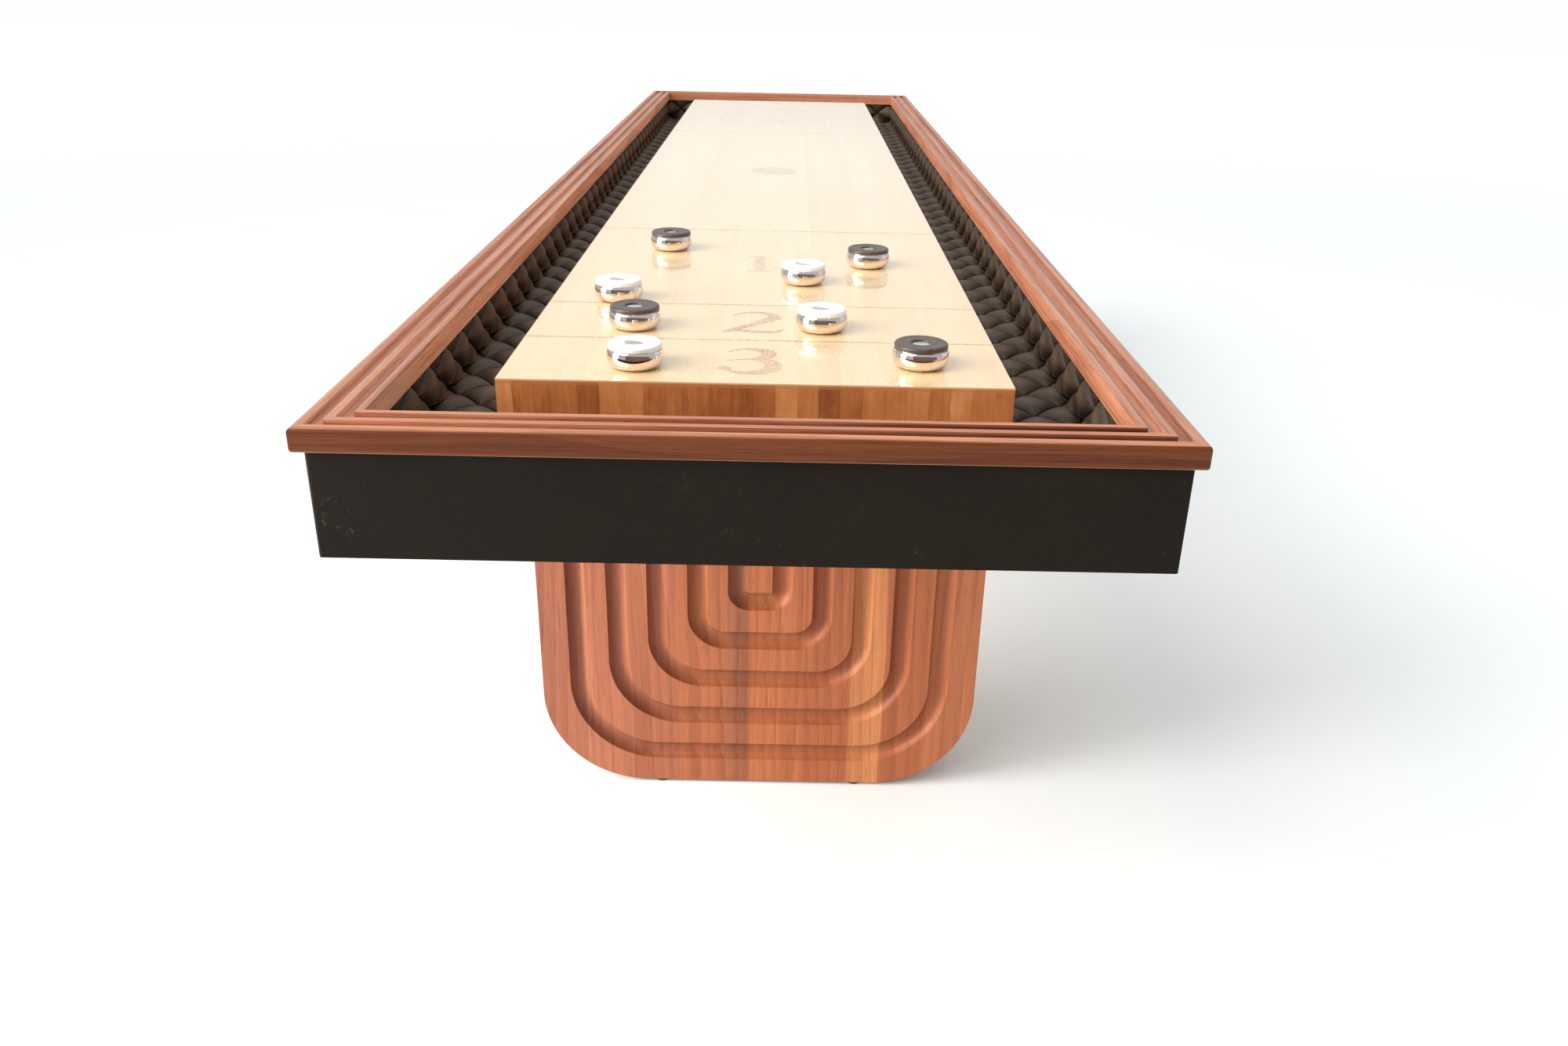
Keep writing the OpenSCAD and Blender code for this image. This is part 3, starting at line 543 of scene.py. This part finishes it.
PR = 0.02935
def weight_profile():
    p = [(0, 0), (0.0195, 0), (0.0208, 0.00015)]
    for i in range(1, 25):
        a = math.radians(90 * i / 24)
        p.append((0.0208 + (PR - 0.0208) * math.sin(a), 0.00015 + 0.0113 * (1 - math.cos(a))))
    for i in range(1, 13):
        u = i / 12
        p.append((PR - 0.0015 * u * u, 0.01145 + 0.0071 * u))
    p += [(0.02770, 0.01885), (0.02745, 0.01900), (0.0266, 0.01904), (0.0266, 0.0196), (0.0096, 0.0196),
          (0.0096, 0.0226), (0.0093, 0.0229), (0.0088, 0.0230), (0.0074, 0.02285), (0, 0.02280)]
    return p
def cap_profile():
    p = [(0.0101, 0.01965), (0.0268, 0.01965), (0.0274, 0.0198)]
    for i in range(0, 13):
        a = math.radians(-5 + 95 * i / 12)
        p.append((0.0251 + 0.0024 * math.cos(a), 0.02245 + 0.0024 * math.sin(a)))
    p += [(0.0235, 0.02496), (0.0215, 0.02502), (0.0206, 0.02496), (0.0200, 0.02470), (0.0194, 0.02462),
          (0.0165, 0.02464), (0.0130, 0.02470), (0.0122, 0.02478), (0.0114, 0.02466), (0.0106, 0.02420), (0.0101, 0.0236)]
    return p


BLACK = [(-135.8, -754.3), (139.1, -842.6), (-139.5, -1173.8), (167.1, -1302.3)]
WHITE = [(-172.9, -1049.2), (50.5, -946.4), (69.0, -1170.4), (-122.3, -1320.7)]
for colour, pts in (("black", BLACK), ("white", WHITE)):
    for i, (x, y) in enumerate(pts):
        lo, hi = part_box(f"weight_{colour}_{i+1}")
        cx, cy, z0 = (lo[0] + hi[0]) / 2, (lo[1] + hi[1]) / 2, lo[2]
        body = f"weight_{colour}_{i+1}"
        bm = lathe(weight_profile(), 128)
        bm.transform(Matrix.Translation((cx, cy, z0)))
        o = new_object(f"steel_{colour}_{i+1}", bm, M["chrome"], body, 40)
        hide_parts(f"weight_{colour}_{i+1}")
        bm = lathe(cap_profile(), 128)
        bm.transform(Matrix.Translation((cx, cy, z0)))
        o = new_object(f"disc_{colour}_{i+1}", bm, M[colour], body, 50)
        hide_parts(f"cap_{colour}_{i+1}")


# ------------------------------------------------------------------ quilted pads
ND = 16      # cells along one side of a diamond, closer together beside the seams
STEP = [(1 - math.cos(math.pi * i / ND)) / 2 for i in range(ND + 1)]
def puff(al, be, var):
    """Height 0..1 of a pillow at (al, be) in 0..1 inside its diamond: tight seams all round, a full crown,
    and small pleats that run out of the pinched tips."""
    rnd = random.Random(var * 7919 + 13)
    sx, sy, ph, nf = rnd.uniform(-0.09, 0.09), rnd.uniform(-0.09, 0.09), rnd.uniform(-0.9, 0.9), rnd.uniform(8, 11)
    p = max(0.0, 4 * al * (1 - al)) * max(0.0, 4 * be * (1 - be))
    dy, ds = al - be, al + be - 1
    h = p ** 0.46 * (1 + sx * dy + sy * ds)
    for tip in ((0, 0), (1, 1), (0, 1), (1, 0)):
        ra = math.hypot(al - tip[0], be - tip[1])
        if ra > 1e-6:
            th = math.atan2(abs(be - tip[1]), abs(al - tip[0])) - math.pi / 4
            h += p ** 0.7 * 0.10 * math.cos(th * nf + ph) * math.exp(-ra * 2.2)
    return h


def quilt(name, nodes, origin, along, across, outward, a, b, ks, js, clip, base, height, top_roll=None, row_gain=None):
    """A quilted pad. Lattice nodes are at origin + along*a*k + across*b*j for k + j even. Diamonds are centred where
    k + j is odd. clip: list of (point, normal) planes; what lies on the normal's side is cut away. base: how far
    behind the surface's valleys the pad's back is."""
    bm = bmesh.new()
    verts = {}
    def vert(u, v, h):
        key = (round(u, 4), round(v, 4))
        if key not in verts:
            p = origin + along * (a * u) + across * (b * v)
            roll_f = 1.0
            if top_roll is not None:
                d = top_roll(p)
                roll_f = 0.0 if d <= 0 else (1.0 if d >= 1 else math.sqrt(1 - (1 - d) ** 2))
            verts[key] = bm.verts.new(p + outward * (h * height * roll_f))
        return verts[key]
    for k in range(ks[0], ks[1] + 1):
        for j in range(js[0], js[1] + 1):
            if (k + j) % 2 == 0:
                continue
            # centre (k, j); corners (k-1, j), (k, j-1), (k+1, j), (k, j+1)
            var = (k * 131 + j * 17 + len(name) * 7) % 97
            gain = row_gain.get(j, 1.0) if row_gain else 1.0
            grid = []
            for i in range(ND + 1):
                row = []
                for m in range(ND + 1):
                    al, be = STEP[i], STEP[m]
                    u = k + (al - be)
                    v = j + (al + be - 1)
                    row.append(vert(u, v, gain * puff(al, be, var) if 0 < i < ND and 0 < m < ND else 0.0))
                grid.append(row)
            for i in range(ND):
                for m in range(ND):
                    bm.faces.new((grid[i][m], grid[i + 1][m], grid[i + 1][m + 1]))
                    bm.faces.new((grid[i][m], grid[i + 1][m + 1], grid[i][m + 1]))
    for co, no in clip:
        geom = bm.verts[:] + bm.edges[:] + bm.faces[:]
        bmesh.ops.bisect_plane(bm, geom=geom, dist=1e-6, plane_co=co, plane_no=no, clear_outer=True)
    bmesh.ops.remove_doubles(bm, verts=bm.verts[:], dist=1e-6)
    edges = [e for e in bm.edges if e.is_boundary]
    res = bmesh.ops.extrude_edge_only(bm, edges=edges)
    new = [g for g in res["geom"] if isinstance(g, bmesh.types.BMVert)]
    o0 = origin - outward * base
    for v in new:
        d = (v.co - o0).dot(outward)
        v.co -= outward * d
    bmesh.ops.remove_doubles(bm, verts=new, dist=1e-7)
    loop = [e for e in bm.edges if e.is_boundary]
    bmesh.ops.contextual_create(bm, geom=loop)
    bmesh.ops.recalc_face_normals(bm, faces=bm.faces)
    o = new_object(name, bm, M["quilt"], "table", 55, (origin, outward, height))
    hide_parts(*nodes)
    return o


EX, EY, EZ = Vector((1, 0, 0)), Vector((0, 1, 0)), Vector((0, 0, 1))
pad_r, pad_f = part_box("wall_pad_right"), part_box("wall_pad_far")
WX, WY = pad_r[0][0], pad_f[0][1]                        # faces of the wall pads
BACKX, BACKY = pad_r[1][0] - 0.0005, pad_f[1][1] - 0.0005  # their backs
CROWN = 1.09                      # the highest a pillow stands, in heights
HW, HF = 0.0118, 0.0095           # pillow heights on the walls and on the floors
ZW = pad_r[0][2] + 0.0002         # foot of the wall pads, resting just over the floor pads
floor_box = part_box("floor_pad_right")
ZT, ZB = 0.7668, floor_box[1][2] - HF * CROWN  # top of the wall pads, seam level of the floor
FB = ZB - floor_box[0][2] - 0.0002             # from the floor's seams down to its back
AY, AX = WY / 42, WX / 10         # half pitch along the sides and the ends
BZ = (ZT + 0.0012 - 0.7155) / 2   # half height of a wall diamond
VAL = HW * CROWN                  # how far behind the face the wall seams lie
roll_top = lambda p: (0.7690 - p.z) / 0.008
for sx, side in ((-1, "left"), (1, "right")):
    out = EX * -sx
    org = Vector((sx * (WX + VAL), -WY, ZT + 0.0012))
    quilt(f"quilted_wall_{side}", [f"wall_pad_{side}"], org, EY, -EZ, out, AY, BZ, (0, 84), (0, 3),
          [(Vector((0, WY - 0.0005, 0)), EY), (Vector((0, -WY + 0.0005, 0)), -EY), (Vector((0, 0, ZT)), EZ), (Vector((0, 0, ZW)), -EZ)],
          BACKX - WX - VAL, HW, roll_top, {0: 0.62})
for sy, side in ((-1, "near"), (1, "far")):
    out = EY * -sy
    org = Vector((-WX, sy * (WY + VAL), ZT + 0.0012))
    quilt(f"quilted_wall_{side}", [f"wall_pad_{side}"], org, EX, -EZ, out, AX, BZ, (-1, 21), (0, 3),
          [(Vector((BACKX, 0, 0)), EX), (Vector((-BACKX, 0, 0)), -EX), (Vector((0, 0, ZT)), EZ), (Vector((0, 0, ZW)), -EZ)],
          BACKY - WY - VAL, HW, roll_top, {0: 0.62})
org = Vector((-WX, -WY, ZB))
for sx, side in ((-1, "left"), (1, "right")):
    js = (-1, 4) if sx < 0 else (16, 21)
    quilt(f"quilted_floor_{side}", [f"floor_pad_{side}"], org, EY, EX, EZ, AY, AX, (2, 82), js,
          [(Vector((sx * BACKX, 0, 0)), EX * sx), (Vector((sx * 0.2552, 0, 0)), EX * -sx),
           (Vector((0, 1.3724, 0)), EY), (Vector((0, -1.3724, 0)), -EY)], FB, HF)
for sy, side in ((-1, "near"), (1, "far")):
    ks = (-1, 5) if sy < 0 else (79, 85)
    quilt(f"quilted_floor_{side}", [f"floor_pad_{side}"], org, EY, EX, EZ, AY, AX, ks, (-1, 21),
          [(Vector((BACKX, 0, 0)), EX), (Vector((-BACKX, 0, 0)), -EX),
           (Vector((0, sy * BACKY, 0)), EY * sy), (Vector((0, sy * 1.3726, 0)), EY * -sy)], FB, HF)

# ------------------------------------------------------------------ floor and light
def stage_mesh(name, mat):
    bm = bmesh.new()
    bmesh.ops.create_grid(bm, x_segments=1, y_segments=1, size=1)
    me = bpy.data.meshes.new(name)
    bm.to_mesh(me)
    bm.free()
    me.materials.append(mat)
    o = bpy.data.objects.new(name, me)
    scene.collection.objects.link(o)
    return o

k = Mat("floor_paper")
fn = k.noise(k.coord(), 2.0, 2, 0.5)
fd = k.node("ShaderNodeVectorMath", operation="LENGTH")
k.put(fd.inputs[0], k.coord())
far_f = k.rng(fd.outputs["Value"], 4.0 / 26, 9.0 / 26, 0, 1, True)
near_c = k.mix(fn, (0.898, 0.916, 0.910), (0.906, 0.924, 0.918))
floor = stage_mesh("floor", k.set(color=k.mix(far_f, near_c, (0.955, 0.940, 0.928)), rough=0.8, spec=0.12))
floor.scale = (26, 26, 1)

# a pale dome that only the camera sees, so that the background stays even
k = Mat("backdrop_paper")
k.set(color=(0, 0, 0), rough=1.0, spec=0.0)
k.bsdf.inputs["Emission Color"].default_value = (0.985, 1.0, 0.975, 1)
k.bsdf.inputs["Emission Strength"].default_value = 1.0
bm = bmesh.new()
bmesh.ops.create_uvsphere(bm, u_segments=48, v_segments=24, radius=25)
me = bpy.data.meshes.new("backdrop")
bm.to_mesh(me)
bm.free()
me.materials.append(k.m)
dome = bpy.data.objects.new("backdrop", me)
scene.collection.objects.link(dome)
for flag in ("visible_diffuse", "visible_glossy", "visible_transmission", "visible_volume_scatter", "visible_shadow"):
    setattr(dome, flag, False)

world = bpy.data.worlds.new("studio")
scene.world = world
world.use_nodes = True
bg = world.node_tree.nodes["Background"]
bg.inputs["Color"].default_value = (0.92, 0.99, 1.03, 1)
# the far backdrop is brighter, and glances off the board and the rails
wt = world.node_tree
def wnode(kind, **kw):
    n = wt.nodes.new(kind)
    for key, val in kw.items():
        setattr(n, key, val)
    return n
def wramp(src, a, b, c, d):
    n = wnode("ShaderNodeMapRange", interpolation_type="SMOOTHSTEP")
    wt.links.new(src, n.inputs[0])
    for i, val in enumerate((a, b, c, d)):
        n.inputs[i + 1].default_value = val
    return n.outputs[0]
wdir = wnode("ShaderNodeSeparateXYZ")
wt.links.new(wnode("ShaderNodeTexCoord").outputs["Generated"], wdir.inputs[0])
far = wnode("ShaderNodeMath", operation="MULTIPLY")
wt.links.new(wramp(wdir.outputs[1], 0.55, 0.85, 0, 1), far.inputs[0])
wt.links.new(wramp(wdir.outputs[2], 0.12, 0.40, 1, 0), far.inputs[1])
wsum = wnode("ShaderNodeMath", operation="MULTIPLY_ADD")
wt.links.new(far.outputs[0], wsum.inputs[0])
wsum.inputs[1].default_value = 0.42
wsum.inputs[2].default_value = 0.55
wt.links.new(wsum.outputs[0], bg.inputs["Strength"])

def area(name, loc, target, size, power, colour=(1, 1, 1)):
    d = bpy.data.lights.new(name, "AREA")
    d.shape = "RECTANGLE"
    d.size, d.size_y = size
    d.energy = power
    d.color = colour
    o = bpy.data.objects.new(name, d)
    scene.collection.objects.link(o)
    o.location = loc
    o.rotation_euler = (Vector(target) - Vector(loc)).to_track_quat("-Z", "Y").to_euler()
    return o

# a low soft window at the left, and a high soft one that throws the long shadow to the right
area("window_left", (-2.7, -1.85, 0.80), (0.0, -1.05, 0.50), (1.2, 1.4), 94, (0.96, 0.985, 1.0))
area("overhead", (0.0, 0.0, 2.8), (0, 0, 0.0), (2.0, 4.6), 18, (1.0, 0.99, 0.97))
area("right_fill", (2.3, -0.4, 1.7), (0.0, -0.4, 0.7), (1.6, 4.0), 4, (1.0, 0.99, 0.98))
for name, energy, angle, way in (("high_left", 1.68, 38, (0.95, 0.80, -1.0)), ("low_left", 1.36, 30, (1.60, 0.55, -1.0))):
    sun = bpy.data.lights.new(name, "SUN")
    sun.energy = energy
    sun.color = (1.0, 0.985, 0.955)
    sun.angle = math.radians(angle)
    so = bpy.data.objects.new(name, sun)
    scene.collection.objects.link(so)
    so.rotation_euler = Vector(way).to_track_quat("-Z", "Y").to_euler()

# a dark card behind the camera, seen only in mirror-like surfaces
k = Mat("dark_card")
card = stage_mesh("dark_card", k.set(color=k.mix(k.noise(k.coord(), 1.5, 2), (0.11, 0.078, 0.062), (0.26, 0.19, 0.155)), rough=0.9))
card.scale = (6.2, 1.15, 1)
card.rotation_euler = (math.radians(90), 0, 0)
card.location = (3.1, -6.0, 1.60)
for flag in ("visible_camera", "visible_diffuse", "visible_shadow"):
    setattr(card, flag, False)

scene.view_settings.view_transform = "Standard"
scene.view_settings.look = "None"
scene.view_settings.exposure = 0.0

bpy.context.view_layer.update()
